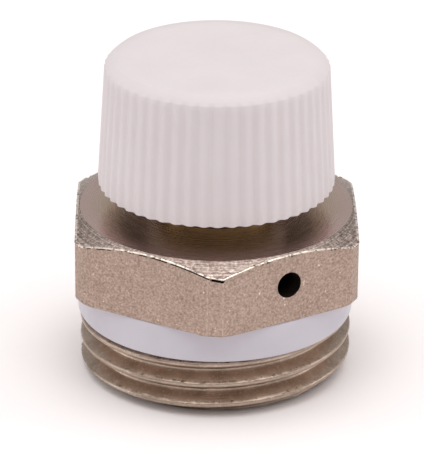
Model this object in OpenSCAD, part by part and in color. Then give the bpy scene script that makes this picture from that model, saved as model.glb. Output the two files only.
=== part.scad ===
// Automatic radiator air vent with a hygroscopic disc cartridge.
// Right-hand G 3/8 stud below, hexagon and hand knob above.
// All sizes in millimetres. The origin is the centre of the stud's end face,
// +Z runs up the valve axis and one corner of the hexagon faces -Y.

/* [Stud thread] */
// Major diameter of the pipe thread
thread_d = 16.662; // [16.4:0.001:16.662]
// Pitch of the pipe thread
thread_pitch = 1.337; // [1.3:0.001:1.34]
// Depth of the thread from crest to root
thread_depth = 0.856; // [0.7:0.001:0.86]
// Angle between a flank and the radial direction
flank_angle = 27.5; // [25:0.5:28]
// Width of the flat on each crest
crest_w = 0.32; // [0.22:0.01:0.34]
// Height of the lowest crest's middle above the stud end
first_crest_z = 0.68; // [0.66:0.01:0.7]
// Number of crests on the stud
crests = 3; // [2:1:3]
// Length of the stud below the hexagon
stud_h = 6.0; // [6:0.05:6.2]
// Axial length of the chamfer on the stud's end
end_chamfer_h = 0.66; // [0.5:0.01:0.7]
// Radial size of the chamfer on the stud's end
end_chamfer_r = 1.13; // [0.9:0.01:1.2]

/* [Hexagon] */
// Distance across the flats
hex_af = 17; // [16.8:0.1:17]
// Height of the hexagon
hex_h = 4.43; // [4.4:0.01:4.6]
// Diameter of the turned rim that blunts the corners
corner_d = 19.16; // [18.9:0.02:19.5]
// Diameter of the flat turned top face
top_face_d = 16.6; // [16:0.1:16.8]
// Height of the slope from the top face down to the corners
corner_drop = 0.61; // [0.4:0.01:0.8]
// Chamfer on the hexagon's lower corners
lower_chamfer = 0.25; // [0.1:0.05:0.4]

/* [Discharge port] */
// Diameter of the hole in the hexagon's flat
port_d = 1.6; // [1.2:0.1:1.7]
// Height of the hole above the hexagon's underside
port_rise = 2.43; // [2.4:0.01:2.5]
// Direction of the hole, measured from +X towards +Y
port_angle = 300; // [0:60:300]

/* [Gasket] */
// Outer diameter of the sealing ring
gasket_d = 16.98; // [16.96:0.01:17]
// Thickness of the sealing ring
gasket_h = 2.17; // [2.1:0.01:2.2]
// Diameter of the undercut that the ring sits in
undercut_d = 14.8; // [14.6:0.1:15]
// Rounding of the ring's outer edges
gasket_edge = 0.1; // [0.05:0.01:0.12]

/* [Knob] */
// Height of the knob's rim above the hexagon's top face
knob_gap = 1.57; // [1.5:0.01:1.7]
// Height of the knob
knob_h = 8.0; // [7.8:0.1:8.4]
// Diameter over the ribs at the rim
knob_rim_d = 14.42; // [14.2:0.02:14.6]
// Diameter over the ribs just under the top edge
knob_top_d = 13.54; // [13.3:0.02:13.7]
// Number of grip ribs
ribs = 52; // [36:1:60]
// Depth of the valleys between the ribs
rib_depth = 0.16; // [0.05:0.01:0.25]
// Rounding of the top edge
knob_edge = 0.6; // [0.4:0.1:1]
// Thickness of the knob's wall and top
knob_wall = 1.3; // [1.1:0.1:1.6]
// Outer diameter of the hub that grips the spindle
hub_d = 8.4; // [8:0.1:9]
// Number of webs between hub and wall
webs = 6; // [4:1:8]
// Thickness of one web
web_w = 0.8; // [0.6:0.1:1]

/* [Spindle] */
// Major diameter of the spindle's thread, and of its neck
spindle_d = 7.0; // [6.9:0.05:7]
// Pitch of the spindle's thread: the lift in one turn of the knob
spindle_pitch = 0.75; // [0.7:0.05:0.75]
// Radial clearance between the spindle and the valve bore
running_gap = 0.05; // [0.03:0.01:0.08]
// Diameter of the chamber in the spindle for the discs
disc_bore_d = 5.2; // [5:0.1:5.2]
// Width across the flats of the head inside the knob
head_af = 5.4; // [5:0.1:5.6]
// Height of the head inside the knob
head_h = 5.2; // [4.8:0.1:5.6]

/* [Disc cartridge] */
// Number of hygroscopic discs
discs = 6; // [6:1:6]
// Thickness of one dry disc
disc_t = 0.22; // [0.2:0.01:0.23]
// Spacing of the dry discs
disc_step = 0.24; // [0.23:0.01:0.24]
// Diameter of the discs
disc_d = 4.9; // [4.6:0.1:4.9]
// Distance that the swollen discs lift the closing plate
swell = 0.22; // [0.1:0.01:0.22]
// Diameter of the pin that holds the check valve open
pusher_d = 1.6; // [1.4:0.1:1.8]

/* [Check valve] */
// Diameter of the valve chamber in the stud
chamber_d = 10.8; // [10.4:0.1:11]
// Height of the valve chamber
chamber_h = 3.6; // [3.6:0.05:3.65]
// Diameter of the hole through the valve seat
seat_d = 3.8; // [3.4:0.1:4]
// Diameter of the poppet's head
poppet_d = 5.0; // [4.8:0.1:5.4]
// Opening between poppet and seat in automatic working
poppet_gap = 0.85; // [0.8:0.01:0.85]
// Diameter of the spring wire
wire_d = 0.26; // [0.22:0.01:0.28]
// Number of turns of the spring
spring_turns = 3; // [2.5:0.5:3]

/* [Hidden] */

$fn = 96;
cut = 0.5;                                   // how far a cutting tool runs past a face
touch = 0.02;                                // gap between faces that only just meet

// Heights up the body
hex_z = stud_h;
top_z = hex_z + hex_h;
gasket_z = hex_z - gasket_h;
port_z = hex_z + port_rise;
seat_t = 0.6;                                // thickness of the wall that carries the seat
seat_top_z = chamber_h + seat_t;
bore_r = spindle_d / 2 + running_gap;

// Neck O-ring, held in a groove near the top of the bore
neck_ring_section = 0.7;
neck_ring_z = port_z + port_d / 2 + 0.15;
groove_r = bore_r + neck_ring_section;
mouth_chamfer = 0.2;

// Check valve, from the stud's end upwards
snap_z = 0.35;
snap_t = 0.35;
snap_groove_depth = 0.4;
snap_gap_angle = 40;
retainer_z = snap_z + snap_t + 0.03;
retainer_t = 0.27;
retainer_top_z = retainer_z + retainer_t;
retainer_holes = 8;
retainer_hole_r = 0.8;
retainer_ring_r = 4.0;                       // radius of the circle the holes lie on
spring_low_r = 2.9;
spring_high_r = 1.75;
seal_t = 0.35;
poppet_t = 0.4;
seal_top_z = chamber_h - poppet_gap;
poppet_z = seal_top_z - seal_t - poppet_t;
stem_d = 1.6;
stem_end_z = 0.08;
boss_r = 1.2;

// Disc cartridge, from the valve seat upwards
nose_r = 2.3;
seal_ring_section = 0.54;
seal_ring_r = nose_r + seal_ring_section / 2 + 0.03;
flange_z = seat_top_z + seal_ring_section + touch;
flange_t = 0.25;
flange_r = 3.2;
collar_h = 0.25;
spindle_end_z = flange_z + flange_t;
strainer_z = spindle_end_z + collar_h + touch;
strainer_t = 0.1;
strainer_rows = [1.1, 1.6, 2.1];             // radii of the rows of holes
strainer_hole_r = 0.13;
disc_z = strainer_z + strainer_t + touch;
stack_top_z = disc_z + (discs - 1) * disc_step + disc_t;
post_r = 0.6;
guide_r = post_r + 0.05;                     // hole in discs and strainer around the post
plate_z = stack_top_z + touch;
plate_t = 0.1;
plate_seal_t = 0.12;
plate_seal_r = 1.7;
plate_notches = 3;
notch_r = 0.5;
plate_seat_z = plate_z + plate_t + plate_seal_t + swell + touch;
air_holes = 6;
air_hole_r = 0.3;
air_hole_ring_r = 1.5;

// Spindle
gallery_r = 2.6;
gallery_z0 = port_z - port_d / 2 + 0.15;
gallery_z1 = neck_ring_z - spindle_pitch;    // stays below the O-ring when the knob is one turn open
cross_hole_r = 0.4;
cross_hole_z = (gallery_z0 + gallery_z1) / 2;
axial_port_r = 1.0;
spindle_thread_depth = 0.61 * spindle_pitch;
spindle_crest_w = spindle_pitch / 8;
head_z = top_z + knob_gap + 0.25;
head_r = head_af / 2 / cos(30);
head_groove_r = 2.4;                         // moulding groove that locks the head in the hub
head_groove_h = 0.7;
head_groove_z = head_z + head_h - 1.6;

// Knob
knob_z = top_z + knob_gap;
knob_top_z = knob_z + knob_h;
rib_top_z = knob_top_z - knob_edge;
rim_r = knob_rim_d / 2;
shoulder_r = knob_top_d / 2;
rib_steps = 6;                               // points along each rib's outline
roof_z = knob_top_z - knob_wall;
hub_rise = 0.3;                              // height of the hub's end above the rim
web_rise = 2.5;                              // height of the webs' lower edge above the rim
overlap = 0.3;                               // depth to which joined shapes run into each other

// A ring of rectangular section
module ring(r_in, r_out, z, h) {
    translate([0, 0, z]) rotate_extrude() translate([r_in, 0]) square([r_out - r_in, h]);
}

// An O-ring of round section, resting on height z
module o_ring(section, r_middle, z) {
    translate([0, 0, z + section / 2]) rotate_extrude()
        translate([r_middle, 0]) circle(d = section, $fn = 32);
}

// Outline of one ridge of a thread, crest centred on height z
function ridge(r, depth, flat, run, z) = [
    [r - depth, z - flat / 2 - run],
    [r, z - flat / 2],
    [r, z + flat / 2],
    [r - depth, z + flat / 2 + run]
];

module thread_ridges() {
    run = thread_depth * tan(flank_angle);
    r = thread_d / 2;
    sides = [for (i = [0 : crests - 1])
        each ridge(r, thread_depth, crest_w, run, first_crest_z + i * thread_pitch)];
    rotate_extrude() polygon(concat([[0, 0], [r - thread_depth, 0]], sides,
        [[r - thread_depth, stud_h], [0, stud_h]]));
}

module stud() {
    r = thread_d / 2;
    difference() {
        intersection() {
            thread_ridges();
            rotate_extrude() polygon([[0, 0], [r - end_chamfer_r, 0], [r, end_chamfer_h],
                [r + cut, end_chamfer_h], [r + cut, stud_h], [0, stud_h]]);
        }
        ring(undercut_d / 2, r + cut, gasket_z, gasket_h + cut);
    }
}

module hex_head() {
    r = corner_d / 2;
    intersection() {
        translate([0, 0, hex_z]) rotate([0, 0, 30]) cylinder(h = hex_h, r = hex_af / 2 / cos(30), $fn = 6);
        rotate_extrude() polygon([[0, hex_z - cut], [r - lower_chamfer - cut, hex_z - cut],
            [r - lower_chamfer, hex_z], [r, hex_z + lower_chamfer], [r, top_z - corner_drop],
            [top_face_d / 2, top_z], [0, top_z]]);
    }
}

module body() {
    color([0.70, 0.62, 0.57])
    difference() {
        union() {
            hex_head();
            stud();
            cylinder(h = hex_z + cut, d = undercut_d);
        }
        translate([0, 0, -cut]) cylinder(h = chamber_h + cut, d = chamber_d);
        ring(0, chamber_d / 2 + snap_groove_depth, snap_z - touch, snap_t + 2 * touch);
        cylinder(h = top_z, d = seat_d);
        translate([0, 0, seat_top_z]) cylinder(h = top_z, r = bore_r);
        translate([0, 0, top_z - mouth_chamfer])
            cylinder(h = 2 * mouth_chamfer, r1 = bore_r, r2 = bore_r + 2 * mouth_chamfer);
        ring(0, groove_r, neck_ring_z - touch / 2, neck_ring_section + touch);
        rotate([0, 0, port_angle]) translate([0, 0, port_z]) rotate([0, 90, 0])
            cylinder(h = hex_af, d = port_d);
    }
}

module gasket() {
    r_out = gasket_d / 2;
    e = gasket_edge;
    color([0.80, 0.77, 0.79])
    translate([0, 0, gasket_z]) rotate_extrude() polygon([[undercut_d / 2, 0], [r_out - e, 0],
        [r_out, e], [r_out, gasket_h - e / 2], [r_out - e / 2, gasket_h], [undercut_d / 2, gasket_h]]);
}

module neck_o_ring() {
    color([0.10, 0.10, 0.10])
    o_ring(neck_ring_section - 0.03, bore_r + neck_ring_section / 2, neck_ring_z);
}

// Open ring of flat wire in the groove at the stud's end
module snap_ring() {
    r_out = chamber_d / 2 + snap_groove_depth - 0.05;
    r_in = chamber_d / 2 - 0.5;
    color([0.62, 0.62, 0.64])
    difference() {
        ring(r_in, r_out, snap_z, snap_t);
        rotate([0, 0, 90 - snap_gap_angle / 2]) translate([0, 0, snap_z - cut])
            rotate_extrude(angle = snap_gap_angle) square([r_out + cut, snap_t + 2 * cut]);
    }
}

// Perforated plate that carries the spring and guides the poppet's stem
module spring_retainer() {
    color([0.70, 0.56, 0.30])
    difference() {
        translate([0, 0, retainer_z]) cylinder(h = retainer_t, r = chamber_d / 2 - 0.05);
        translate([0, 0, retainer_z - cut]) cylinder(h = retainer_t + 2 * cut, r = stem_d / 2 + running_gap);
        for (i = [0 : retainer_holes - 1])
            rotate([0, 0, (i + 0.5) * 360 / retainer_holes])
                translate([retainer_ring_r, 0, retainer_z - cut])
                    cylinder(h = retainer_t + 2 * cut, r = retainer_hole_r, $fn = 48);
    }
}

// Conical spring, wide end on the retainer: one wire swept along a tapering helix
module valve_spring() {
    sides = 8;
    steps = spring_turns * 28;
    low_z = retainer_top_z + wire_d / 2 + touch;
    high_z = poppet_z - wire_d / 2 - touch;
    points = [for (i = [0 : steps], j = [0 : sides - 1])
        let (
            f = i / steps,
            turn = 360 * spring_turns * f,
            around = 360 * j / sides,
            r = spring_low_r + (spring_high_r - spring_low_r) * f + wire_d / 2 * cos(around),
            z = low_z + (high_z - low_z) * f + wire_d / 2 * sin(around)
        )
        [r * cos(turn), r * sin(turn), z]];
    skin = [for (i = [0 : steps - 1], j = [0 : sides - 1])
        let (a = i * sides + j, b = i * sides + (j + 1) % sides) [a, b, b + sides, a + sides]];
    ends = [[for (j = [0 : sides - 1]) sides - 1 - j], [for (j = [0 : sides - 1]) steps * sides + j]];
    color([0.66, 0.66, 0.68]) polyhedron(points, concat(skin, ends), convexity = 6);
}

// Poppet: stem in the retainer, flat head, and a boss inside the seal
module poppet() {
    color([0.72, 0.58, 0.32])
    union() {
        translate([0, 0, stem_end_z]) cylinder(h = poppet_z - stem_end_z + 0.1, d = stem_d);
        translate([0, 0, poppet_z]) cylinder(h = poppet_t, d = poppet_d);
        translate([0, 0, poppet_z]) cylinder(h = poppet_t + seal_t, r = boss_r);
    }
}

module poppet_seal() {
    color([0.12, 0.12, 0.12])
    ring(boss_r, poppet_d / 2 - 0.05, poppet_z + poppet_t, seal_t);
}

// Cap that closes the spindle: pusher pin below, guide post for the discs above
module cartridge_cap() {
    color([0.85, 0.83, 0.76])
    difference() {
        union() {
            translate([0, 0, seal_top_z + touch]) cylinder(h = flange_z - seal_top_z, d = pusher_d);
            translate([0, 0, seat_top_z + 0.05]) cylinder(h = flange_z - seat_top_z, r = nose_r);
            translate([0, 0, flange_z]) cylinder(h = flange_t, r = flange_r);
            translate([0, 0, flange_z]) cylinder(h = flange_t + collar_h, r = disc_bore_d / 2 - running_gap);
            translate([0, 0, flange_z]) cylinder(h = stack_top_z - flange_z - touch, r = post_r);
        }
        for (i = [0 : air_holes - 1])
            rotate([0, 0, i * 360 / air_holes]) translate([air_hole_ring_r, 0, seat_top_z])
                cylinder(h = strainer_z - seat_top_z, r = air_hole_r, $fn = 32);
    }
}

module cartridge_seal() {
    color([0.12, 0.12, 0.12])
    o_ring(seal_ring_section, seal_ring_r, seat_top_z + touch / 2);
}

// Thin perforated plate that keeps dirt off the discs
module strainer() {
    color([0.75, 0.75, 0.77])
    difference() {
        ring(guide_r, disc_d / 2, strainer_z, strainer_t);
        for (row = strainer_rows, i = [0 : row * 10 - 1])
            rotate([0, 0, i * 36 / row]) translate([row, 0, strainer_z - cut])
                cylinder(h = 2 * cut, r = strainer_hole_r, $fn = 16);
    }
}

// One hygroscopic disc; number 1 is the lowest
module disc(number) {
    color([0.86, 0.80, 0.66])
    ring(guide_r, disc_d / 2, disc_z + (number - 1) * disc_step, disc_t);
}

// Plate that the swollen discs lift, notched so that air passes its edge
module closing_plate() {
    color([0.75, 0.75, 0.77])
    difference() {
        translate([0, 0, plate_z]) cylinder(h = plate_t, r = disc_d / 2);
        for (i = [0 : plate_notches - 1])
            rotate([0, 0, (i + 0.5) * 360 / plate_notches])
                translate([disc_d / 2 + 0.1, 0, plate_z - cut])
                    cylinder(h = 2 * cut, r = notch_r, $fn = 32);
    }
}

module closing_seal() {
    color([0.14, 0.14, 0.14])
    translate([0, 0, plate_z + plate_t]) cylinder(h = plate_seal_t, r = plate_seal_r);
}

module spindle_thread() {
    run = spindle_thread_depth * tan(30);
    r = spindle_d / 2;
    low = spindle_end_z + run + spindle_crest_w;
    count = floor((gallery_z0 - overlap - low) / spindle_pitch) + 1;
    sides = [for (i = [0 : count - 1])
        each ridge(r, spindle_thread_depth, spindle_crest_w, run, low + i * spindle_pitch)];
    rotate_extrude() polygon(concat([[0, spindle_end_z], [r - spindle_thread_depth, spindle_end_z]], sides,
        [[r - spindle_thread_depth, gallery_z0], [0, gallery_z0]]));
}

module spindle() {
    color([0.74, 0.60, 0.34])
    difference() {
        union() {
            spindle_thread();
            translate([0, 0, spindle_end_z]) cylinder(h = head_z - spindle_end_z, r = gallery_r);
            translate([0, 0, gallery_z1]) cylinder(h = head_z - gallery_z1, d = spindle_d);
            translate([0, 0, head_z]) rotate([0, 0, 30]) cylinder(h = head_h, r = head_r, $fn = 6);
        }
        translate([0, 0, spindle_end_z - cut])
            cylinder(h = plate_seat_z - spindle_end_z + cut, d = disc_bore_d);
        translate([0, 0, plate_seat_z - cut])
            cylinder(h = gallery_z1 - plate_seat_z + cut, r = axial_port_r);
        for (a = [0, 90])
            rotate([0, 0, a]) translate([-spindle_d / 2, 0, cross_hole_z]) rotate([0, 90, 0])
                cylinder(h = spindle_d, r = cross_hole_r, $fn = 32);
        ring(head_groove_r, head_r + cut, head_groove_z, head_groove_h);
    }
}

// Radius of the knob's ribbed outline, at angle a, for a ridge radius r
function rib_r(r, a) = r - rib_depth * (1 - abs(cos(a * ribs / 2)));

module ribbed_skirt() {
    steps = ribs * rib_steps;
    translate([0, 0, knob_z])
        linear_extrude(height = rib_top_z - knob_z, scale = shoulder_r / rim_r)
            polygon([for (i = [0 : steps - 1]) let (a = i * 360 / steps) rib_r(rim_r, a) * [cos(a), sin(a)]]);
}

// Smooth top with a rounded edge, a little inside the ribs' ridges
module knob_crown() {
    r = shoulder_r - rib_depth / 2;
    translate([0, 0, rib_top_z]) rotate_extrude()
        polygon(concat([[0, -overlap], [r, -overlap]],
            [for (a = [0 : 15 : 90]) [r - knob_edge + knob_edge * cos(a), knob_edge * sin(a)]],
            [[0, knob_edge]]));
}

module knob() {
    inner_low_r = rim_r - knob_wall;
    inner_high_r = shoulder_r - knob_wall;
    color([0.90, 0.87, 0.86])
    difference() {
        union() {
            difference() {
                union() {
                    ribbed_skirt();
                    knob_crown();
                }
                rotate_extrude() polygon([[0, knob_z - cut], [inner_low_r, knob_z - cut],
                    [inner_high_r, roof_z], [0, roof_z]]);
            }
            translate([0, 0, knob_z + hub_rise])
                cylinder(h = roof_z + overlap - knob_z - hub_rise, d = hub_d);
            for (i = [0 : webs - 1])
                rotate([0, 0, i * 360 / webs])
                    translate([hub_d / 2 - overlap, -web_w / 2, knob_z + web_rise])
                        cube([inner_high_r - hub_d / 2 + 2 * overlap, web_w,
                            roof_z + overlap - knob_z - web_rise]);
        }
        translate([0, 0, knob_z - cut]) rotate([0, 0, 30])
            cylinder(h = head_z + head_h - knob_z + cut + 0.1, r = head_r + touch, $fn = 6);
        translate([0, 0, knob_z - cut]) cylinder(h = head_z - knob_z + cut + touch, d = spindle_d + 0.1);
    }
}

body();
gasket();
neck_o_ring();
snap_ring();
spring_retainer();
valve_spring();
poppet();
poppet_seal();
cartridge_cap();
cartridge_seal();
strainer();
disc(1);  // disc_1
disc(2);  // disc_2
disc(3);  // disc_3
disc(4);  // disc_4
disc(5);  // disc_5
disc(6);  // disc_6
closing_plate();
closing_seal();
spindle();
knob();
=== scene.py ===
"""Automatic radiator air vent: the visual model.

Lengths are in millimetres until mesh_piece() turns them into metres. The origin is the
centre of the stud's end face, +Z runs up the valve axis, and a corner of the hexagon
faces -Y.
"""

import math

import bmesh
import bpy
from mathutils import Euler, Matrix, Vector, noise


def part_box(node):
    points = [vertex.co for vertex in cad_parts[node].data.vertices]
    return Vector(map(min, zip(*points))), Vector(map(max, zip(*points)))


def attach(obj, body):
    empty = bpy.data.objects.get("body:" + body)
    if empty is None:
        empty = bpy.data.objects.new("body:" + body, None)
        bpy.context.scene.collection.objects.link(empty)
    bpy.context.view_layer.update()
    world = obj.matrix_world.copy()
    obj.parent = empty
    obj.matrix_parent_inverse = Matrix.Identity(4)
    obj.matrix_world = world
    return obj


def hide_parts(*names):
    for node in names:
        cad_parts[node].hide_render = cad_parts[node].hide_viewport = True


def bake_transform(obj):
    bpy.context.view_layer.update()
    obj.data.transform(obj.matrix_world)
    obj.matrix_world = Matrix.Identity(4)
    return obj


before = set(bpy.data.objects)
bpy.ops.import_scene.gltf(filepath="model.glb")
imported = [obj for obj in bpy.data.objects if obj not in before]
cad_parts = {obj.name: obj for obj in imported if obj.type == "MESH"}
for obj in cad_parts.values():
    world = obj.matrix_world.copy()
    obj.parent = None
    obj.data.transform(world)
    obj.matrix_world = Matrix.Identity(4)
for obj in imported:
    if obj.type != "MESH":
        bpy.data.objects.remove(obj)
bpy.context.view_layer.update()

MM = 0.001
TAU = 2 * math.pi


def box_mm(node):
    """Lowest and highest corner of a CAD node, in millimetres."""
    low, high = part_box(node)
    return low / MM, high / MM


# ---------------------------------------------------------------- sizes, from the frame
body_high = box_mm("body")[1]
gasket_low, gasket_high = box_mm("gasket")
knob_low, knob_high = box_mm("knob")
spindle_high = box_mm("spindle")[1]
ring_low, ring_high = box_mm("neck_o_ring")

HALF_FLATS = body_high.x                     # half the hexagon's size across the flats
CORNER_R = body_high.y                       # turned rim that blunts its corners
TOP_Z = body_high.z
HEX_Z = gasket_high.z
GASKET_Z = gasket_low.z
GASKET_R = gasket_high.x
KNOB_Z = knob_low.z
KNOB_TOP_Z = knob_high.z
KNOB_RIM_R = knob_high.x
NECK_R = spindle_high.x

# Hexagon
TOP_FACE_R = 8.30
CORNER_DROP = 0.61
LOWER_ROUND = 0.25
EDGE_ROUND = 0.05
FRONT = math.radians(-90)                    # direction of the front corner
FRONT_FACET_R = 9.39                         # the front corner is blunted by one skewed facet
FRONT_FACET_ANGLE = math.radians(-101.5)

# Stud
THREAD_R = 8.331
THREAD_PITCH = 1.337
THREAD_DEPTH = 0.856
FLANK_ANGLE = math.radians(27.5)
THREAD_ROUND = 0.18                          # rounding of crests and roots
FRONT_CREST_Z = 0.88                         # middle of the lowest crest, at the front
END_CHAMFER_R = 1.13
END_CHAMFER_H = 0.66
UNDERCUT_R = 7.4

# Passages inside the body
BORE_R = NECK_R + 0.05
CHAMBER_R = 5.4
CHAMBER_H = 3.6
SEAT_TOP_Z = 4.2
SEAT_R = 1.9
PORT_R = 0.8
PORT_Z = HEX_Z + 2.43
PORT_ANGLE = math.radians(300)

# Knob
RIBS = 52
RIB_DEPTH = 0.15
KNOB_SHOULDER_R = 6.77
KNOB_EDGE = 0.6                              # width of the sloped edge round the top
KNOB_EDGE_H = 0.53
KNOB_WALL = 1.3
HUB_R = 4.2
SOCKET_R = 3.14                              # socket in the hub for the spindle's head
WEBS = 6
WEB_HALF_WIDTH = 0.4
WEB_LOW_RISE = 2.5                           # the webs start this far above the knob's rim
WEB_LOW_R = 5.78
WEB_HIGH_R = 5.6

# Retaining groove in the stud's end
GROOVE_DEPTH = 0.4
GROOVE_LOW_Z = 0.33
GROOVE_HIGH_Z = 0.72

# Spring
WIRE_R = 0.13
SPRING_TURNS = 3
SPRING_LOW_R = 2.9
SPRING_HIGH_R = 1.75

# Slots of the body's finishes, with its painted shade and painted highlight colours
BLASTED, TURNED, TORN, THREADED, PAINTED_SHADE, BURR, EDGE_HIGHLIGHT, SCAR_AND_SHADOW = range(8)


# ---------------------------------------------------------------- mesh helpers
def rounded(points, radius, pieces=3):
    """A closed outline of (r, z) points with its corners cut to arcs."""
    out = []
    n = len(points)
    for i, p in enumerate(points):
        p = Vector(p)
        a, b = Vector(points[i - 1]), Vector(points[(i + 1) % n])
        cut = min(radius, 0.42 * (a - p).length, 0.42 * (b - p).length)
        start = p + (a - p).normalized() * cut
        end = p + (b - p).normalized() * cut
        for k in range(pieces + 1):
            t = k / pieces
            out.append(((1 - t) ** 2 * start + 2 * t * (1 - t) * p + t ** 2 * end)[:])
    return out


def turned(r, angle, z):
    """A point at radius r and an angle round the valve axis."""
    return (r * math.cos(angle), r * math.sin(angle), z)


def lathe(outline, steps=128, closed=True, turn=None):
    """Vertices and faces of an outline turned round Z. turn(r, angle, z) may reshape each point."""
    place = turn or turned
    n = len(outline)
    verts = [place(r, TAU * j / steps, z) for j in range(steps) for r, z in outline]
    faces = []
    for j in range(steps):
        a, b = j * n, (j + 1) % steps * n
        faces += [(a + i, b + i, b + (i + 1) % n, a + (i + 1) % n) for i in range(n if closed else n - 1)]
    return verts, faces


def mesh_piece(name, verts, faces, sharp=32, weld=2e-4):
    """A closed, smooth-shaded mesh object; edges sharper than sharp degrees stay crisp."""
    mesh = bpy.data.meshes.new(name)
    mesh.from_pydata([Vector(v) * MM for v in verts], [], faces)
    bm = bmesh.new()
    bm.from_mesh(mesh)
    bmesh.ops.remove_doubles(bm, verts=bm.verts, dist=weld * MM)
    bmesh.ops.dissolve_degenerate(bm, dist=weld * MM / 2, edges=bm.edges)
    bmesh.ops.recalc_face_normals(bm, faces=bm.faces)
    bm.to_mesh(mesh)
    bm.free()
    piece = bpy.data.objects.new(name, mesh)
    bpy.context.scene.collection.objects.link(piece)
    crisp(piece, sharp)
    return piece


def crisp(piece, sharp):
    """Smooth shading, but crisp edges above a fold of sharp degrees."""
    piece.data.shade_smooth()
    piece.data.set_sharp_from_angle(angle=math.radians(sharp))


def cut_away(piece, cutter):
    """Cut one closed mesh out of another."""
    modifier = piece.modifiers.new("cut", "BOOLEAN")
    modifier.object, modifier.operation, modifier.solver = cutter, "DIFFERENCE", "EXACT"
    bpy.context.view_layer.update()
    evaluated = piece.evaluated_get(bpy.context.evaluated_depsgraph_get())
    mesh = bpy.data.meshes.new_from_object(evaluated)
    piece.modifiers.clear()
    piece.data = mesh
    bpy.data.objects.remove(cutter)


def fine_noise(point, scale, octaves=3):
    """Fractal noise from -1 to 1 at a place in millimetres; scale is the size of its largest lumps."""
    value, weight = 0.0, 1.0
    for k in range(octaves):
        value += weight * noise.noise(Vector(point) * (2 ** k / scale))
        weight *= 0.5
    return value


# ---------------------------------------------------------------- materials
def material(name, color, roughness, metallic=0.0, **sockets):
    """A new material with its Principled shader, and a helper to add nodes."""
    made = bpy.data.materials.new(name)
    made.use_nodes = True
    made.diffuse_color = (*color, 1)
    shader = made.node_tree.nodes["Principled BSDF"]
    shader.inputs["Base Color"].default_value = (*color, 1)
    shader.inputs["Roughness"].default_value = roughness
    shader.inputs["Metallic"].default_value = metallic
    for socket, value in sockets.items():
        shader.inputs[socket.replace("_", " ")].default_value = value
    return made, shader, NodeMaker(made.node_tree)


class NodeMaker:
    """Short calls for the few node kinds that the materials use."""

    def __init__(self, tree):
        self.tree = tree
        self.coord = tree.nodes.new("ShaderNodeTexCoord").outputs["Object"]

    def link(self, source, target):
        self.tree.links.new(source, target)

    def mapped(self, scale):
        """Object coordinates stretched by scale, a number or a triple, per metre."""
        node = self.tree.nodes.new("ShaderNodeMapping")
        node.inputs["Scale"].default_value = scale if isinstance(scale, tuple) else (scale,) * 3
        self.link(self.coord, node.inputs["Vector"])
        return node.outputs["Vector"]

    def noise(self, scale, detail=4, roughness=0.6, vector=None):
        node = self.tree.nodes.new("ShaderNodeTexNoise")
        node.inputs["Scale"].default_value = scale
        node.inputs["Detail"].default_value = detail
        node.inputs["Roughness"].default_value = roughness
        self.link(vector or self.coord, node.inputs["Vector"])
        return node.outputs["Fac"]

    def radius(self):
        """Distance from the valve axis, and height above the floor, in metres."""
        split = self.tree.nodes.new("ShaderNodeSeparateXYZ")
        self.link(self.coord, split.inputs[0])
        flat = self.tree.nodes.new("ShaderNodeCombineXYZ")
        self.link(split.outputs["X"], flat.inputs["X"])
        self.link(split.outputs["Y"], flat.inputs["Y"])
        length = self.tree.nodes.new("ShaderNodeVectorMath")
        length.operation = "LENGTH"
        self.link(flat.outputs[0], length.inputs[0])
        return length.outputs["Value"], split.outputs["Z"]

    def combine(self, x, y):
        node = self.tree.nodes.new("ShaderNodeCombineXYZ")
        self.link(x, node.inputs["X"])
        self.link(y, node.inputs["Y"])
        return node.outputs[0]

    def math(self, operation, a, b=0.0, clamp=False):
        node = self.tree.nodes.new("ShaderNodeMath")
        node.operation, node.use_clamp = operation, clamp
        for socket, value in zip(node.inputs, (a, b)):
            if isinstance(value, (int, float)):
                socket.default_value = value
            else:
                self.link(value, socket)
        return node.outputs[0]

    def ramp(self, fac, *stops):
        """Colour ramp: each stop is (position, colour or grey level)."""
        node = self.tree.nodes.new("ShaderNodeValToRGB")
        elements = node.color_ramp.elements
        while len(elements) < len(stops):
            elements.new(0.5)
        for element, (position, value) in zip(elements, stops):
            element.position = position
            element.color = (*value, 1) if isinstance(value, tuple) else (value, value, value, 1)
        self.link(fac, node.inputs["Fac"])
        return node.outputs["Color"]

    def mix(self, fac, a, b):
        node = self.tree.nodes.new("ShaderNodeMix")
        node.data_type = "RGBA"
        for socket, value in ((node.inputs["Factor"], fac), (node.inputs["A"], a), (node.inputs["B"], b)):
            if isinstance(value, tuple):
                socket.default_value = (*value, 1)
            elif isinstance(value, (int, float)):
                socket.default_value = value
            else:
                self.link(value, socket)
        return node.outputs["Result"]

    def bump(self, shader, height, strength, depth, normal=None):
        """Bump of a real depth in millimetres."""
        node = self.tree.nodes.new("ShaderNodeBump")
        node.inputs["Strength"].default_value = strength
        node.inputs["Distance"].default_value = depth * MM
        self.link(height, node.inputs["Height"])
        if normal:
            self.link(normal, node.inputs["Normal"])
        self.link(node.outputs["Normal"], shader.inputs["Normal"])
        return node.outputs["Normal"]


NICKEL = (0.60, 0.475, 0.42)


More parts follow.
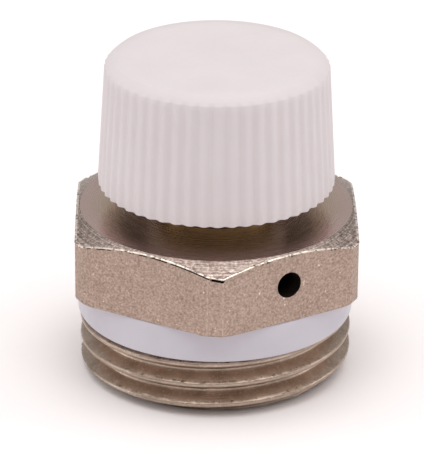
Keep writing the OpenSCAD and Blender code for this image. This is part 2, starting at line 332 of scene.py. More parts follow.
def blasted_nickel():
    """Nickel plate over forged brass: sandy grain of light and dark specks, and a faint cloudiness."""
    made, shader, n = material("blasted_nickel", NICKEL, 0.42, metallic=1.0)
    clouds = n.ramp(n.noise(350, 3), (0.35, (0.39, 0.28, 0.225)), (0.65, (0.45, 0.33, 0.27)))
    sand = n.ramp(n.noise(7500, 2, 0.5), (0.28, 0.0), (0.72, 1.0))
    shaded = n.mix(0.45, clouds, (0.12, 0.08, 0.055))
    color = n.mix(n.math("MULTIPLY", sand, 0.6), shaded, (0.72, 0.565, 0.485))
    sparks = n.ramp(n.noise(4200, 2, 0.5), (0.70, 0.0), (0.76, 1.0))
    n.link(n.mix(sparks, color, (0.86, 0.74, 0.66)), shader.inputs["Base Color"])
    n.link(n.ramp(n.noise(1800, 4), (0.3, 0.38), (0.7, 0.54)), shader.inputs["Roughness"])
    grain = n.bump(shader, n.noise(5200, 4, 0.7), 0.6, 0.03)
    n.bump(shader, n.noise(1500, 3), 0.4, 0.03, grain)
    return made


def turned_nickel():
    """Smooth turned face: concentric tool lines and an even satin gloss. Its mottled colour is browner under
    the knob as painted shade, and lighter and pinker on the outer ring as a painted reflection of the bright
    room.
    """
    made, shader, n = material("turned_nickel", NICKEL, 0.26, metallic=1.0)
    radius, height = n.radius()
    rings = n.noise(1, 3, 0.6, n.combine(n.math("MULTIPLY", radius, 9000), n.math("MULTIPLY", height, 300)))
    # painted shade: mottled base colour, browner than the outer ring, for the face under the knob
    underknob_shade_and_mottle = n.ramp(n.noise(420, 3), (0.3, (0.575, 0.445, 0.335)), (0.7, (0.63, 0.50, 0.385)))
    # painted reflection: the outer ring, from 6.6 to 8 mm, turns lighter and pinker
    outer = n.ramp(n.math("MULTIPLY", radius, 100), (0.66, 0.0), (0.80, 0.75))
    n.link(n.mix(outer, underknob_shade_and_mottle, (0.68, 0.50, 0.475)), shader.inputs["Base Color"])
    n.link(n.ramp(rings, (0.3, 0.23), (0.7, 0.32)), shader.inputs["Roughness"])
    n.bump(shader, rings, 0.2, 0.003)
    return made


def torn_nickel():
    """Rough chamfer: turning marks that tear into bright ridges and dark pits."""
    made, shader, n = material("torn_nickel", NICKEL, 0.34, metallic=1.0)
    radius, height = n.radius()
    rings = n.noise(1, 4, 0.75, n.combine(n.math("MULTIPLY", radius, 9000), n.math("MULTIPLY", height, 9000)))
    tears = n.noise(5200, 4, 0.75)
    mixed = n.math("ADD", n.math("MULTIPLY", rings, 0.5), n.math("MULTIPLY", tears, 0.5))
    color = n.ramp(mixed, (0.40, (0.14, 0.095, 0.08)), (0.50, (0.40, 0.315, 0.275)),
                   (0.61, (0.86, 0.74, 0.68)))
    n.link(color, shader.inputs["Base Color"])
    n.link(n.ramp(tears, (0.3, 0.26), (0.7, 0.50)), shader.inputs["Roughness"])
    n.bump(shader, mixed, 0.9, 0.05)
    return made


def burr_highlight():
    """The chamfer's burred edge in a near-white metal colour, a painted highlight, with random dark specks.
    """
    made, shader, n = material("burr_highlight", (0.86, 0.74, 0.65), 0.3, metallic=1.0)
    n.link(n.ramp(n.noise(3600, 3, 0.75), (0.38, (0.22, 0.16, 0.125)), (0.50, (0.95, 0.84, 0.75))),
           shader.inputs["Base Color"])
    n.link(n.ramp(n.noise(3000, 3), (0.3, 0.24), (0.7, 0.45)), shader.inputs["Roughness"])
    n.bump(shader, n.noise(6000, 3), 0.6, 0.02)
    return made


def threaded_nickel():
    """Cut thread: scratches that run round the flanks, thin plating on the crests, and painted contact shade
    that darkens the lowest 0.6 mm.
    """
    made, shader, n = material("threaded_nickel", NICKEL, 0.34, metallic=1.0)
    radius, height = n.radius()
    lines = n.noise(1, 4, 0.7, n.combine(n.math("MULTIPLY", radius, 9000), n.math("MULTIPLY", height, 9000)))
    base = n.ramp(n.noise(900, 4), (0.3, (0.33, 0.25, 0.195)), (0.7, (0.50, 0.39, 0.32)))
    specks = n.ramp(n.noise(5600, 4, 0.75), (0.54, 0.0), (0.68, 1.0))
    bright = n.mix(n.math("MULTIPLY", specks, 0.5), base, (0.78, 0.66, 0.57))
    # painted contact shade: the colour darkens towards the stud's end, fully up to 0.15 mm and fading out by
    # 0.6 mm
    contact_shade = n.ramp(n.math("MULTIPLY", height, 1000), (0.15, 0.7), (0.60, 0.0))
    n.link(n.mix(contact_shade, bright, (0.12, 0.085, 0.06)), shader.inputs["Base Color"])
    n.link(n.ramp(lines, (0.3, 0.26), (0.7, 0.46)), shader.inputs["Roughness"])
    n.bump(shader, lines, 0.6, 0.015)
    return made


def corner_edge_highlight():
    """Blasted nickel made a little lighter along the corner's edges, a painted edge highlight."""
    made, shader, n = material("corner_edge_highlight", NICKEL, 0.4, metallic=1.0)
    n.link(n.ramp(n.noise(3500, 3, 0.7), (0.36, (0.40, 0.295, 0.24)), (0.66, (0.58, 0.46, 0.39))),
           shader.inputs["Base Color"])
    n.link(n.ramp(n.noise(1800, 4), (0.3, 0.36), (0.7, 0.50)), shader.inputs["Roughness"])
    n.bump(shader, n.noise(5200, 4, 0.7), 0.5, 0.03)
    return made


def scar_and_burr_shadow():
    """Brown torn metal on the upper edge of a thread crest, darkened as the painted shadow under the burr."""
    made, shader, n = material("scar_and_burr_shadow", (0.16, 0.11, 0.075), 0.5, metallic=0.8)
    n.link(n.ramp(n.noise(5000, 3, 0.7), (0.36, (0.17, 0.12, 0.085)), (0.64, (0.42, 0.32, 0.25))),
           shader.inputs["Base Color"])
    n.link(n.ramp(n.noise(3000, 3), (0.3, 0.4), (0.7, 0.6)), shader.inputs["Roughness"])
    n.bump(shader, n.noise(6000, 3), 0.6, 0.015)
    return made


def painted_shade_black():
    """Near-black, dull colour for the unplated brass in the drilled passages and for the crevice under the
    burr: painted shade.
    """
    made, shader, n = material("painted_shade_black", (0.02, 0.014, 0.009), 0.85, Specular_IOR_Level=0.1)
    n.link(n.ramp(n.noise(1500, 4), (0.3, (0.004, 0.003, 0.002)), (0.7, (0.020, 0.014, 0.009))),
           shader.inputs["Base Color"])
    n.bump(shader, n.noise(3000, 3), 0.4, 0.02)
    return made


def bare_brass():
    """Turned brass with fine lines round it and brown tarnish."""
    made, shader, n = material("bare_brass", (0.50, 0.37, 0.21), 0.32, metallic=1.0)
    radius, height = n.radius()
    lines = n.noise(1, 3, 0.6, n.combine(n.math("MULTIPLY", radius, 8000), n.math("MULTIPLY", height, 8000)))
    n.link(n.ramp(n.noise(600, 4), (0.3, (0.34, 0.245, 0.14)), (0.65, (0.58, 0.44, 0.26))),
           shader.inputs["Base Color"])
    n.link(n.ramp(lines, (0.3, 0.2), (0.7, 0.4)), shader.inputs["Roughness"])
    n.bump(shader, lines, 0.4, 0.008)
    return made


def spring_steel():
    """Drawn stainless steel."""
    made, shader, n = material("spring_steel", (0.62, 0.61, 0.60), 0.3, metallic=1.0)
    n.link(n.ramp(n.noise(1200, 4), (0.3, (0.48, 0.47, 0.46)), (0.7, (0.70, 0.69, 0.68))),
           shader.inputs["Base Color"])
    n.link(n.ramp(n.noise(4000, 3), (0.3, 0.22), (0.7, 0.42)), shader.inputs["Roughness"])
    n.bump(shader, n.noise(5000, 3), 0.3, 0.006)
    return made


def sealing_ptfe():
    """White PTFE with a cool cast: waxy, faintly marked by machining and handling."""
    made, shader, n = material("sealing_ptfe", (0.74, 0.715, 0.765), 0.42, Specular_IOR_Level=0.4)
    n.link(n.ramp(n.noise(300, 3), (0.3, (0.56, 0.53, 0.585)), (0.7, (0.595, 0.565, 0.62))),
           shader.inputs["Base Color"])
    n.link(n.ramp(n.noise(1500, 3), (0.3, 0.34), (0.7, 0.52)), shader.inputs["Roughness"])
    radius, height = n.radius()
    lines = n.noise(1, 3, 0.6, n.combine(n.math("MULTIPLY", radius, 4000), n.math("MULTIPLY", height, 4000)))
    n.bump(shader, lines, 0.25, 0.01)
    return made


def knob_plastic():
    """Moulded white plastic with a warm pink cast: satin skin and fine spark texture."""
    made, shader, n = material("knob_plastic", (0.80, 0.735, 0.74), 0.46, Specular_IOR_Level=0.45)
    base = n.ramp(n.noise(260, 4), (0.3, (0.68, 0.617, 0.63)), (0.7, (0.71, 0.647, 0.66)))
    n.link(base, shader.inputs["Base Color"])
    n.link(n.ramp(n.noise(2200, 3), (0.3, 0.42), (0.7, 0.54)), shader.inputs["Roughness"])
    n.bump(shader, n.noise(4500, 3), 0.18, 0.012)
    return made


def seal_rubber():
    """Matt black EPDM."""
    made, shader, n = material("seal_rubber", (0.03, 0.03, 0.032), 0.6)
    n.link(n.ramp(n.noise(900, 4), (0.3, (0.022, 0.022, 0.023)), (0.7, (0.045, 0.044, 0.043))),
           shader.inputs["Base Color"])
    n.link(n.ramp(n.noise(2500, 3), (0.3, 0.5), (0.7, 0.72)), shader.inputs["Roughness"])
    n.bump(shader, n.noise(3500, 3), 0.3, 0.01)
    return made


def natural_acetal():
    """Milky moulded acetal."""
    made, shader, n = material("natural_acetal", (0.80, 0.78, 0.70), 0.35)
    n.link(n.ramp(n.noise(500, 3), (0.3, (0.76, 0.73, 0.65)), (0.7, (0.83, 0.81, 0.74))),
           shader.inputs["Base Color"])
    n.link(n.ramp(n.noise(2000, 3), (0.3, 0.28), (0.7, 0.42)), shader.inputs["Roughness"])
    n.bump(shader, n.noise(3000, 3), 0.2, 0.008)
    return made


def pressed_fibre():
    """Pressed cellulose: short fibres in all directions."""
    made, shader, n = material("pressed_fibre", (0.74, 0.64, 0.46), 0.85)
    fibres = n.noise(3000, 4, 0.7, n.mapped((1.0, 0.25, 1.0)))
    crossed = n.noise(3000, 4, 0.7, n.mapped((0.25, 1.0, 1.0)))
    both = n.math("MULTIPLY", n.math("ADD", fibres, crossed), 0.5)
    n.link(n.ramp(both, (0.35, (0.58, 0.48, 0.32)), (0.65, (0.84, 0.76, 0.60))), shader.inputs["Base Color"])
    n.link(n.ramp(both, (0.3, 0.75), (0.7, 0.95)), shader.inputs["Roughness"])
    n.bump(shader, both, 0.6, 0.02)
    return made


# ---------------------------------------------------------------- body
def from_crest(angle, z):
    """Height above the nearest crest of the right-hand helix."""
    crest = FRONT_CREST_Z + THREAD_PITCH * (angle - FRONT) / TAU
    off = (z - crest) / THREAD_PITCH
    return (off - round(off)) * THREAD_PITCH


def thread_radius(angle, z):
    """Radius of the stud's surface: rounded crests and roots, cut back by the end chamfer."""
    off = abs(from_crest(angle, z))
    arc = THREAD_ROUND * math.cos(FLANK_ANGLE)
    crest_drop = THREAD_ROUND * (1 - math.sin(FLANK_ANGLE))
    to_root = THREAD_PITCH / 2 - off
    if off < arc:
        drop = THREAD_ROUND - math.sqrt(THREAD_ROUND ** 2 - off ** 2)
    elif to_root < arc:
        drop = THREAD_DEPTH - THREAD_ROUND + math.sqrt(THREAD_ROUND ** 2 - max(to_root, 0) ** 2)
    else:
        share = (off - arc) / (THREAD_PITCH / 2 - 2 * arc)
        drop = crest_drop + share * (THREAD_DEPTH - 2 * crest_drop)
    chamfer = THREAD_R - END_CHAMFER_R + z * END_CHAMFER_R / END_CHAMFER_H
    return min(THREAD_R - drop, chamfer)


def thread_wear(angle, z):
    """Small bumps on the thread, with a torn burr along the upper edge of each crest."""
    if not 0.05 < z < GASKET_Z - 0.05:
        return 0.0
    spot = turned(THREAD_R, angle, z)
    burr = max(0.0, 1 - abs(from_crest(angle, z) - 0.12) / 0.06)
    return 0.010 * fine_noise(spot, 0.5) + 0.05 * burr * fine_noise(spot, 0.25)


def thread_sheet(angles):
    """The threaded part of the stud. Its rows follow the helix, so crest and root edges are whole edges."""
    arc, half = THREAD_ROUND * math.cos(FLANK_ANGLE), THREAD_PITCH / 2
    flank = half - 2 * arc
    side = [arc * k / 5 for k in range(1, 6)] + [arc + flank * k / 6 for k in range(1, 7)]
    side += [half - arc * (1 - k / 4) for k in range(1, 4)]
    offsets = [-half] + [-s for s in reversed(side)] + [0.0] + side
    per_turn = len(offsets)
    turns = range(-3, int(GASKET_Z / THREAD_PITCH) + 4)
    rows = [FRONT_CREST_Z + t * THREAD_PITCH + s for t in turns for s in offsets]
    verts, columns = [], len(angles)
    for a in angles:
        lift = THREAD_PITCH * (a - FRONT) / TAU
        for row in rows:
            z = min(max(row + lift, 0.0), GASKET_Z)
            verts.append(turned(thread_radius(a, z) + thread_wear(a, z), a, z))
    n, faces = len(rows), []
    for j in range(columns):
        last = j == columns - 1
        shift = per_turn if last else 0
        a, b = j * n, (0 if last else (j + 1) * n) + shift
        count = n - 1 - shift
        faces += [(a + i, b + i, b + i + 1, a + i + 1) for i in range(count)]
    return verts, faces


def hex_outline(angle):
    """Distance from the axis to the hexagon's side, with its blunted corners."""
    across = (angle + math.pi / 6) % (math.pi / 3) - math.pi / 6
    flat = HALF_FLATS / math.cos(across)
    if abs(angle - FRONT) < math.pi / 6:
        return min(flat, FRONT_FACET_R / math.cos(angle - FRONT_FACET_ANGLE))
    return min(flat, CORNER_R)


def facet_ends():
    """Angles, from the front corner, at which its skewed facet meets the two flats."""
    steps = [math.radians(0.01 * k) for k in range(-800, 801)]
    cut = [d for d in steps if hex_outline(FRONT + d) < HALF_FLATS / math.cos(math.pi / 6 - abs(d)) - 1e-9]
    return math.degrees(cut[0]), math.degrees(cut[-1])


FACET_START, FACET_END = facet_ends()


def column_angles():
    """Angles of the body's columns: even on the flats, and close beside each edge of a corner."""
    blunt = math.degrees(math.pi / 6 - math.acos(HALF_FLATS / CORNER_R))
    angles = []
    for sector in range(6):
        ends = (FACET_START, FACET_END) if sector == 0 else (-blunt, blunt)
        near = [e + d for e in ends for d in (-0.7, -0.25, 0.25, 0.7)]
        even = [-29.25 + 0.75 * k for k in range(80)]
        inside = [d for d in even if all(abs(d - e) > 1.0 for e in ends)]
        angles += [math.radians(-90 + 60 * sector + d) for d in sorted(near + inside)]
    return angles


def edge_height(angle):
    """Height at which the chamfer cone meets the hexagon's side."""
    return TOP_Z - (hex_outline(angle) - TOP_FACE_R) * CORNER_DROP / (CORNER_R - TOP_FACE_R)


def crack(angle):
    """Depth and height of the broken crevice that runs under the burr on the two front flats."""
    from_front = (angle - FRONT + math.pi) % TAU - math.pi
    spot = turned(9, angle, 0)
    if FACET_START * 0.65 < math.degrees(from_front) < FACET_END + 0.3:
        return 0.10, 0.13
    if -math.pi / 3 < from_front < 0:
        nearness = 1 + from_front / (math.pi / 3)
        share = max(0.0, min(1.0, 1.3 * nearness - 0.25 + fine_noise(spot, 0.45)))
        return 0.05 * share, 0.03 + 0.025 * nearness
    return 0.03 * max(0.0, min(1.0, 1.5 * fine_noise(spot, 0.5))), 0.03


def burr(angle):
    """Height of the bright burr on the chamfer's outer edge."""
    return 0.025 + 0.04 * max(0.0, min(1.0, fine_noise(turned(9, angle, 3), 0.3) + 0.4))


def hex_column(angle):
    """The body's section at one angle: up from the gasket's undercut, over the top and down the inside."""
    side = hex_outline(angle)
    at_corner = max(0.0, min(1.0, (side - CORNER_R + LOWER_ROUND) / LOWER_ROUND))
    low = EDGE_ROUND + at_corner * (LOWER_ROUND - EDGE_ROUND)
    slope = CORNER_DROP / (CORNER_R - TOP_FACE_R)
    edge_z, lip = edge_height(angle), burr(angle)
    depth, height = crack(angle)
    points = [(thread_radius(angle, GASKET_Z), GASKET_Z), (UNDERCUT_R, GASKET_Z + 0.002), (UNDERCUT_R, HEX_Z)]
    points += [(UNDERCUT_R + (side - low - UNDERCUT_R) * k / 4, HEX_Z) for k in range(1, 5)]
    points += [(side - low + low * math.sin(t * math.pi / 8), HEX_Z + low * (1 - math.cos(t * math.pi / 8)))
               for t in range(1, 5)]
    side_low, side_high = HEX_Z + low, edge_z - 0.06 - height
    points += [(side, side_low + (side_high - side_low) * k / 12) for k in range(1, 13)]
    points += [(side - depth, side_high + 0.02), (side - depth, edge_z - 0.04), (side, edge_z - 0.03),
               (side + lip * 0.6, edge_z - 0.01), (side + lip * 0.4, edge_z + lip * 0.7),
               (side - 0.04, edge_z + 0.04 * slope + lip), (side - 0.12, edge_z + 0.12 * slope)]
    chamfer_start = side - 0.12
    for k in range(1, 13):
        r = chamfer_start + (TOP_FACE_R - chamfer_start) * k / 12
        torn = 0.012 * fine_noise((r * math.cos(angle), r * math.sin(angle), 7), 0.3)
        torn *= min(1.0, 12 - k) * min(1.0, max(0.0, side - TOP_FACE_R - 0.2) / 0.3)
        points.append((r, TOP_Z - (r - TOP_FACE_R) * slope + torn))
    points += [(TOP_FACE_R - 0.03, TOP_Z), (TOP_FACE_R - 0.3, TOP_Z)]
    points += [(TOP_FACE_R - 0.3 - (TOP_FACE_R - 0.3 - BORE_R - 0.25) * k / 6, TOP_Z) for k in range(1, 7)]
    points += [(BORE_R + 0.2, TOP_Z), (BORE_R, TOP_Z - 0.2)]
    seal_r = ring_high.x + 0.01
    points += [(BORE_R, ring_high.z + 0.01), (seal_r, ring_high.z + 0.01),
               (seal_r, ring_low.z - 0.01), (BORE_R, ring_low.z - 0.01)]
    points += [(BORE_R, ring_low.z - 0.01 - (ring_low.z - 0.01 - SEAT_TOP_Z) * k / 8) for k in range(1, 9)]
    points += [(SEAT_R + 0.1, SEAT_TOP_Z), (SEAT_R, SEAT_TOP_Z - 0.1), (SEAT_R, CHAMBER_H + 0.1),
               (SEAT_R + 0.1, CHAMBER_H), (CHAMBER_R, CHAMBER_H)]
    groove_r = CHAMBER_R + GROOVE_DEPTH
    points += [(CHAMBER_R, 2.4), (CHAMBER_R, 1.4), (CHAMBER_R, GROOVE_HIGH_Z), (groove_r, GROOVE_HIGH_Z),
               (groove_r, GROOVE_LOW_Z), (CHAMBER_R, GROOVE_LOW_Z), (CHAMBER_R, 0.12),
               (CHAMBER_R + 0.12, 0.0)]
    points += [(thread_radius(angle, 0.0) - 0.5, 0.0), (thread_radius(angle, 0.0), 0.0)]
    return points


def body_piece():
    """Hexagon and threaded stud in one piece, with the discharge hole drilled through one flat."""
    angles = column_angles()
    sections = [hex_column(a) for a in angles]
    n = len(sections[0])
    verts = [turned(r, a, z) for a, section in zip(angles, sections) for r, z in section]
    faces = []
    for j in range(len(angles)):
        a, b = j * n, (j + 1) % len(angles) * n
        faces += [(a + i, b + i, b + i + 1, a + i + 1) for i in range(n - 1)]
    thread_verts, thread_faces = thread_sheet(angles)
    faces += [tuple(i + len(verts) for i in f) for f in thread_faces]
    piece = mesh_piece("nickel_brass_body", verts + thread_verts, faces, weld=3e-4)

    for made in (blasted_nickel(), turned_nickel(), torn_nickel(), threaded_nickel(), painted_shade_black(),
                 burr_highlight(), corner_edge_highlight(), scar_and_burr_shadow()):
        piece.data.materials.append(made)
    outline = [(0.0, 2.0), (PORT_R, 2.0), (PORT_R, HALF_FLATS - 0.01), (PORT_R + 0.02, HALF_FLATS + 0.01),
               (PORT_R + 0.02, 12.0), (0.0, 12.0)]
    cutter = mesh_piece("drill", *lathe(outline, 72, closed=False))
    cutter.data.transform(Euler((0, math.pi / 2, 0)).to_matrix().to_4x4())
    cutter.data.transform(Euler((0, 0, PORT_ANGLE)).to_matrix().to_4x4())
    for v in cutter.data.vertices:
        v.co.z += PORT_Z * MM
    for made in piece.data.materials:
        cutter.data.materials.append(made)
    # painted shade: the drilled hole's walls are coloured near black
    for face in cutter.data.polygons:
        face.material_index = PAINTED_SHADE
    cut_away(piece, cutter)
    for face in piece.data.polygons:
        face.material_index = body_region(face)
    crisp(piece, 28)
    return piece


def body_region(face):
    """Which of the body's finishes a face has, painted shade and painted highlights included."""
    c, normal = face.center / MM, face.normal
    r, angle = math.hypot(c.x, c.y), math.atan2(c.y, c.x)
    if face.material_index == PAINTED_SHADE:
        return PAINTED_SHADE
    if c.z < GASKET_Z + 0.01 and r > CHAMBER_R + 0.5:
        # torn metal and painted burr shadow along each crest's upper edge, on the front side only
        scar_and_shadow_edge = 0.12 < from_crest(angle, c.z) < 0.19 and fine_noise(c, 0.45) > 0.15 and r > THREAD_R - 0.3
        return SCAR_AND_SHADOW if scar_and_shadow_edge and abs(c.x) < 6.5 and c.y < 0 else THREADED
    # painted shade: the passages inside the body are coloured near black
    if c.z < TOP_Z - 0.06 and r < CHAMBER_R + 0.45:
        return PAINTED_SHADE
    if c.z > TOP_Z - 0.25 and r < TOP_FACE_R:
        return TURNED
    edge_z, side = edge_height(angle), hex_outline(angle)
    depth, height = crack(angle)
    # painted shadow: near-black colour in the crevice under the burr
    if depth > 0.012 and edge_z - 0.055 - height < c.z < edge_z - 0.032 and r > side - depth - 0.02:
        return PAINTED_SHADE
    # painted highlight: the burr's faces get the near-white burr colour
    if edge_z - 0.03 < c.z and r > side - 0.1:
        return BURR
    if normal.z > 0.5 and c.z > TOP_Z - CORNER_DROP - 0.1:
        return TORN
    # painted highlight: a thin lighter strip along each edge of the front corner's facet
    from_front = math.degrees(angle - FRONT)
    if r > HALF_FLATS and any(abs(from_front - end) < 0.3 for end in (FACET_START, FACET_END)):
        return EDGE_HIGHLIGHT
    return BLASTED


# ---------------------------------------------------------------- knob
def valley(angle):
    """How deep the surface lies between two ribs: 0 on a ridge, 1 in a valley."""
    wave = 0.5 - 0.5 * math.cos(RIBS * angle)
    return wave ** 1.15


def knob_piece():
    """Hollow knob with a ribbed wall, a sloped edge round its top and a hub for the spindle."""
    rim, shoulder = KNOB_RIM_R, KNOB_SHOULDER_R
    edge_z = KNOB_TOP_Z - KNOB_EDGE_H
    roof_z = KNOB_TOP_Z - KNOB_WALL
    head_r, head_z = SOCKET_R, spindle_high.z + 0.1
    skirt_h = edge_z - KNOB_Z
    outline = [(0.0, head_z, 0), (head_r, head_z, 0), (head_r, KNOB_Z + 0.36, 0),
               (head_r + 0.06, KNOB_Z + 0.3, 0),
               (HUB_R - 0.06, KNOB_Z + 0.3, 0), (HUB_R, KNOB_Z + 0.36, 0), (HUB_R, roof_z - 0.15, 0),
               (HUB_R + 0.15, roof_z, 0), (shoulder - KNOB_WALL - 0.15, roof_z, 0),
               (shoulder - KNOB_WALL, roof_z - 0.15, 0), (rim - KNOB_WALL, KNOB_Z + 0.3, 0),
               (rim - KNOB_WALL + 0.03, KNOB_Z + 0.06, 0.0), (rim - KNOB_WALL + 0.1, KNOB_Z, 0.0),
               (rim - 0.5, KNOB_Z, 0.2), (rim - 0.12, KNOB_Z, 0.95), (rim - 0.04, KNOB_Z + 0.03, 1)]
    for k in range(1, 25):
        t = k / 24
        share = 1 - 0.6 * max(0.0, (t - 0.90) / 0.10)
        outline.append((rim + (shoulder - rim) * t, KNOB_Z + 0.08 + (skirt_h - 0.08) * t, share))
    start, bend = Vector((shoulder, edge_z)), Vector((shoulder - 0.31, edge_z + 0.35))
    end = Vector((shoulder - KNOB_EDGE, KNOB_TOP_Z))
    for k in range(1, 10):
        r, z = (1 - k / 9) ** 2 * start + 2 * k / 9 * (1 - k / 9) * bend + (k / 9) ** 2 * end
        outline.append((r, z, 0.4 * max(0.0, 1 - k / 3)))
    for k in range(1, 9):
        r = (shoulder - KNOB_EDGE) * (1 - k / 8)
        outline.append((r, KNOB_TOP_Z - 0.05 * (1 - (r / (shoulder - KNOB_EDGE)) ** 2), 0))
    steps = RIBS * 14
    verts, n = [], len(outline)
    for j in range(steps):
        a = TAU * j / steps
        flash = 0.035 * max(0.0, fine_noise((9 * math.cos(a), 9 * math.sin(a), 0), 0.6, 4))
        for i, (r, z, share) in enumerate(outline):
            z_low = z - flash if 12 <= i <= 14 else z
            verts.append(turned(max(0.0, r - share * RIB_DEPTH * valley(a)), a, max(z_low, KNOB_Z - 0.02)))
    faces = []
    for j in range(steps):
        a, b = j * n, (j + 1) % steps * n
        faces += [(a + i, b + i, b + i + 1, a + i + 1) for i in range(n - 1)]
    piece = mesh_piece("ribbed_knob", verts, faces, sharp=50)
    piece.data.materials.append(knob_plastic())
    return piece


def knob_webs():
    """Moulded webs between the knob's hub and wall."""
    verts, faces = [], []
    root_r, half = HUB_R - 0.15, WEB_HALF_WIDTH
    for k in range(WEBS):
        a = TAU * k / WEBS
        base = len(verts)
        for z, out in ((KNOB_Z + WEB_LOW_RISE, WEB_LOW_R), (KNOB_TOP_Z - KNOB_WALL + 0.2, WEB_HIGH_R)):
            for r, side in ((root_r, -half), (out, -half), (out, half), (root_r, half)):
                verts.append((r * math.cos(a) - side * math.sin(a), r * math.sin(a) + side * math.cos(a), z))
        faces += [tuple(base + i for i in f) for f in
                  ((3, 2, 1, 0), (4, 5, 6, 7), (0, 1, 5, 4), (1, 2, 6, 5), (2, 3, 7, 6), (3, 0, 4, 7))]
    piece = mesh_piece("knob_webs", verts, faces)
    bevel = piece.modifiers.new("bevel", "BEVEL")
    bevel.width, bevel.segments = 0.08 * MM, 2
    piece.data = bpy.data.meshes.new_from_object(piece.evaluated_get(bpy.context.evaluated_depsgraph_get()))
    piece.modifiers.clear()
    return piece


# ---------------------------------------------------------------- gasket, spring and inner parts
def gasket_piece():
    """PTFE ring, its lower edge pressed slightly out of round."""
    inner = UNDERCUT_R + 0.01
    outline = rounded([(inner, GASKET_Z), (GASKET_R, GASKET_Z), (GASKET_R, HEX_Z), (inner, HEX_Z)], 0.09, 4)
    dense = []
    for a, b in zip(outline, outline[1:] + outline[:1]):
        parts = 6 if math.dist(a, b) > 0.5 else 1
        dense += [(a[0] + (b[0] - a[0]) * k / parts, a[1] + (b[1] - a[1]) * k / parts) for k in range(parts)]

    def squashed(r, angle, z):
        low = (HEX_Z - z) / (HEX_Z - GASKET_Z)
        share = max(0.0, (r - UNDERCUT_R) / (GASKET_R - UNDERCUT_R))
        taper = 0.10 * low * (0.6 + 0.4 * math.cos(angle + 0.6))
        return turned(r - share * taper, angle, z)

    piece = mesh_piece("ptfe_gasket", *lathe(dense, 192, turn=squashed), sharp=50)
    piece.data.materials.append(sealing_ptfe())
    return piece


def spring_piece():
    """Conical spring with closed ends: round wire swept along a tapering helix."""
    low, high = box_mm("valve_spring")
    per_turn, sides = 64, 14
    steps = SPRING_TURNS * per_turn
    verts = []
    for i in range(steps + 1):
        f = i / steps
        angle = TAU * SPRING_TURNS * f
        r_mid = SPRING_LOW_R + (SPRING_HIGH_R - SPRING_LOW_R) * f
        z_mid = low.z + WIRE_R + (high.z - low.z - 2 * WIRE_R) * f
        for j in range(sides):
            around = TAU * j / sides
            verts.append(turned(r_mid + WIRE_R * math.cos(around), angle, z_mid + WIRE_R * math.sin(around)))
    faces = []
    for i in range(steps):
        a, b = i * sides, (i + 1) * sides
        faces += [(a + j, a + (j + 1) % sides, b + (j + 1) % sides, b + j) for j in range(sides)]
    faces += [tuple(reversed(range(sides))), tuple(range(steps * sides, (steps + 1) * sides))]
    piece = mesh_piece("conical_spring", verts, faces, sharp=50)
    piece.data.materials.append(spring)
    return piece


def disc_piece(number):
    """One cellulose disc, with a slightly fuzzy, uneven edge."""
    low, high = box_mm(f"disc_{number}")
    outline = rounded([(0.65, low.z), (high.x, low.z), (high.x, high.z), (0.65, high.z)], 0.04)

    def ragged(r, angle, z):
        edge = max(0.0, (r - 2.2) / 0.25)
        spot = (r * math.cos(angle), r * math.sin(angle), z * 3 + number)
        return turned(r - 0.03 * edge * abs(fine_noise(spot, 0.3)), angle, z)

    piece = mesh_piece(f"fibre_disc_{number}", *lathe(outline, 96, turn=ragged), sharp=50)
    piece.data.materials.append(fibre)
    return piece


brass, spring, rubber = bare_brass(), spring_steel(), seal_rubber()
acetal, fibre = natural_acetal(), pressed_fibre()

body = body_piece()
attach(body, "valve_body")
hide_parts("body")

gasket = gasket_piece()
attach(gasket, "valve_body")
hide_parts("gasket")

knob = knob_piece()
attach(knob, "hand_knob")
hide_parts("knob")
webs = knob_webs()
webs.data.materials.append(knob.data.materials[0])
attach(webs, "hand_knob")

coil = spring_piece()
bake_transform(coil)
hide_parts("valve_spring")

for number in range(1, 7):
    disc = disc_piece(number)
    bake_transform(disc)
    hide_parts(f"disc_{number}")

finishes = {
    "neck_o_ring": rubber, "snap_ring": spring, "spring_retainer": brass, "poppet": brass,
    "poppet_seal": rubber, "cartridge_cap": acetal, "cartridge_seal": rubber, "strainer": spring,
    "closing_plate": spring, "closing_seal": rubber, "spindle": brass}
for node, made in finishes.items():
    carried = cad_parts[node]
    carried.data.materials.clear()
    carried.data.materials.append(made)


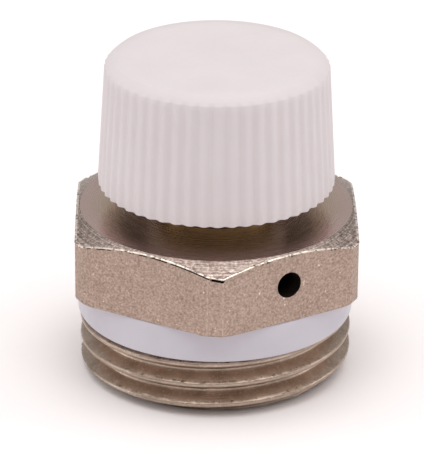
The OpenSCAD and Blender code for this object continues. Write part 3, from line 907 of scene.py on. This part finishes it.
# ---------------------------------------------------------------- floor, light and camera
def floor():
    bpy.ops.mesh.primitive_plane_add(size=3.0)
    plane = bpy.context.object
    plane.name = "floor"
    made, shader, n = material("pale_floor", (0.985, 0.945, 0.95), 0.8, Specular_IOR_Level=0.1)
    n.link(n.ramp(n.noise(40, 3), (0.3, (0.98, 0.94, 0.945)), (0.7, (0.99, 0.95, 0.955))),
           shader.inputs["Base Color"])
    plane.data.materials.append(made)


def softbox(name, place, aim, size, power, color=(1, 1, 1)):
    light = bpy.data.objects.new(name, bpy.data.lights.new(name, "AREA"))
    light.data.shape, light.data.size, light.data.energy, light.data.color = "SQUARE", size, power, color
    light.location = place
    light.rotation_mode = "QUATERNION"
    light.rotation_quaternion = (Vector(aim) - Vector(place)).to_track_quat("-Z", "Y")
    bpy.context.scene.collection.objects.link(light)


def studio():
    floor()
    softbox("key", (0, -0.045, 0.388), (0, 0, 0.01), 0.47, 1.27, (1.0, 0.99, 0.975))
    softbox("left", (-0.40, 0.02, 0.14), (0, 0, 0.01), 0.24, 0.26)
    softbox("right", (0.40, 0.02, 0.16), (0, 0, 0.01), 0.24, 0.30)
    world = bpy.data.worlds.new("soft_room")
    bpy.context.scene.world = world
    world.use_nodes = True
    world.node_tree.nodes["Background"].inputs["Color"].default_value = (1.0, 0.99, 0.985, 1)
    world.node_tree.nodes["Background"].inputs["Strength"].default_value = 0.50


def camera():
    """Looks down on the vent from 25 degrees, 200 mm from the axis at the hexagon's underside."""
    elevation, yaw, distance = math.radians(25.2), math.radians(-0.9), 0.200
    focus = Vector((0, 0, HEX_Z * MM))
    level = math.cos(elevation)
    back = Vector((math.sin(yaw) * level, -math.cos(yaw) * level, math.sin(elevation)))
    made = bpy.data.cameras.new("camera")
    made.sensor_width, made.lens = 36.0, 249.6
    made.clip_start, made.clip_end = 0.01, 10
    view = bpy.data.objects.new("camera", made)
    view.location = focus + back * distance
    aim = (-back).to_track_quat("-Z", "Y")
    # the vent stands a little low and right of the middle, and leans half a degree
    tilt = Euler((math.radians(0.608), math.radians(0.069), 0)).to_quaternion()
    roll = Euler((0, 0, math.radians(0.5))).to_quaternion()
    view.rotation_mode = "QUATERNION"
    view.rotation_quaternion = aim @ tilt @ roll
    bpy.context.scene.collection.objects.link(view)
    bpy.context.scene.camera = view


studio()
camera()
bpy.context.scene.view_settings.view_transform = "Standard"
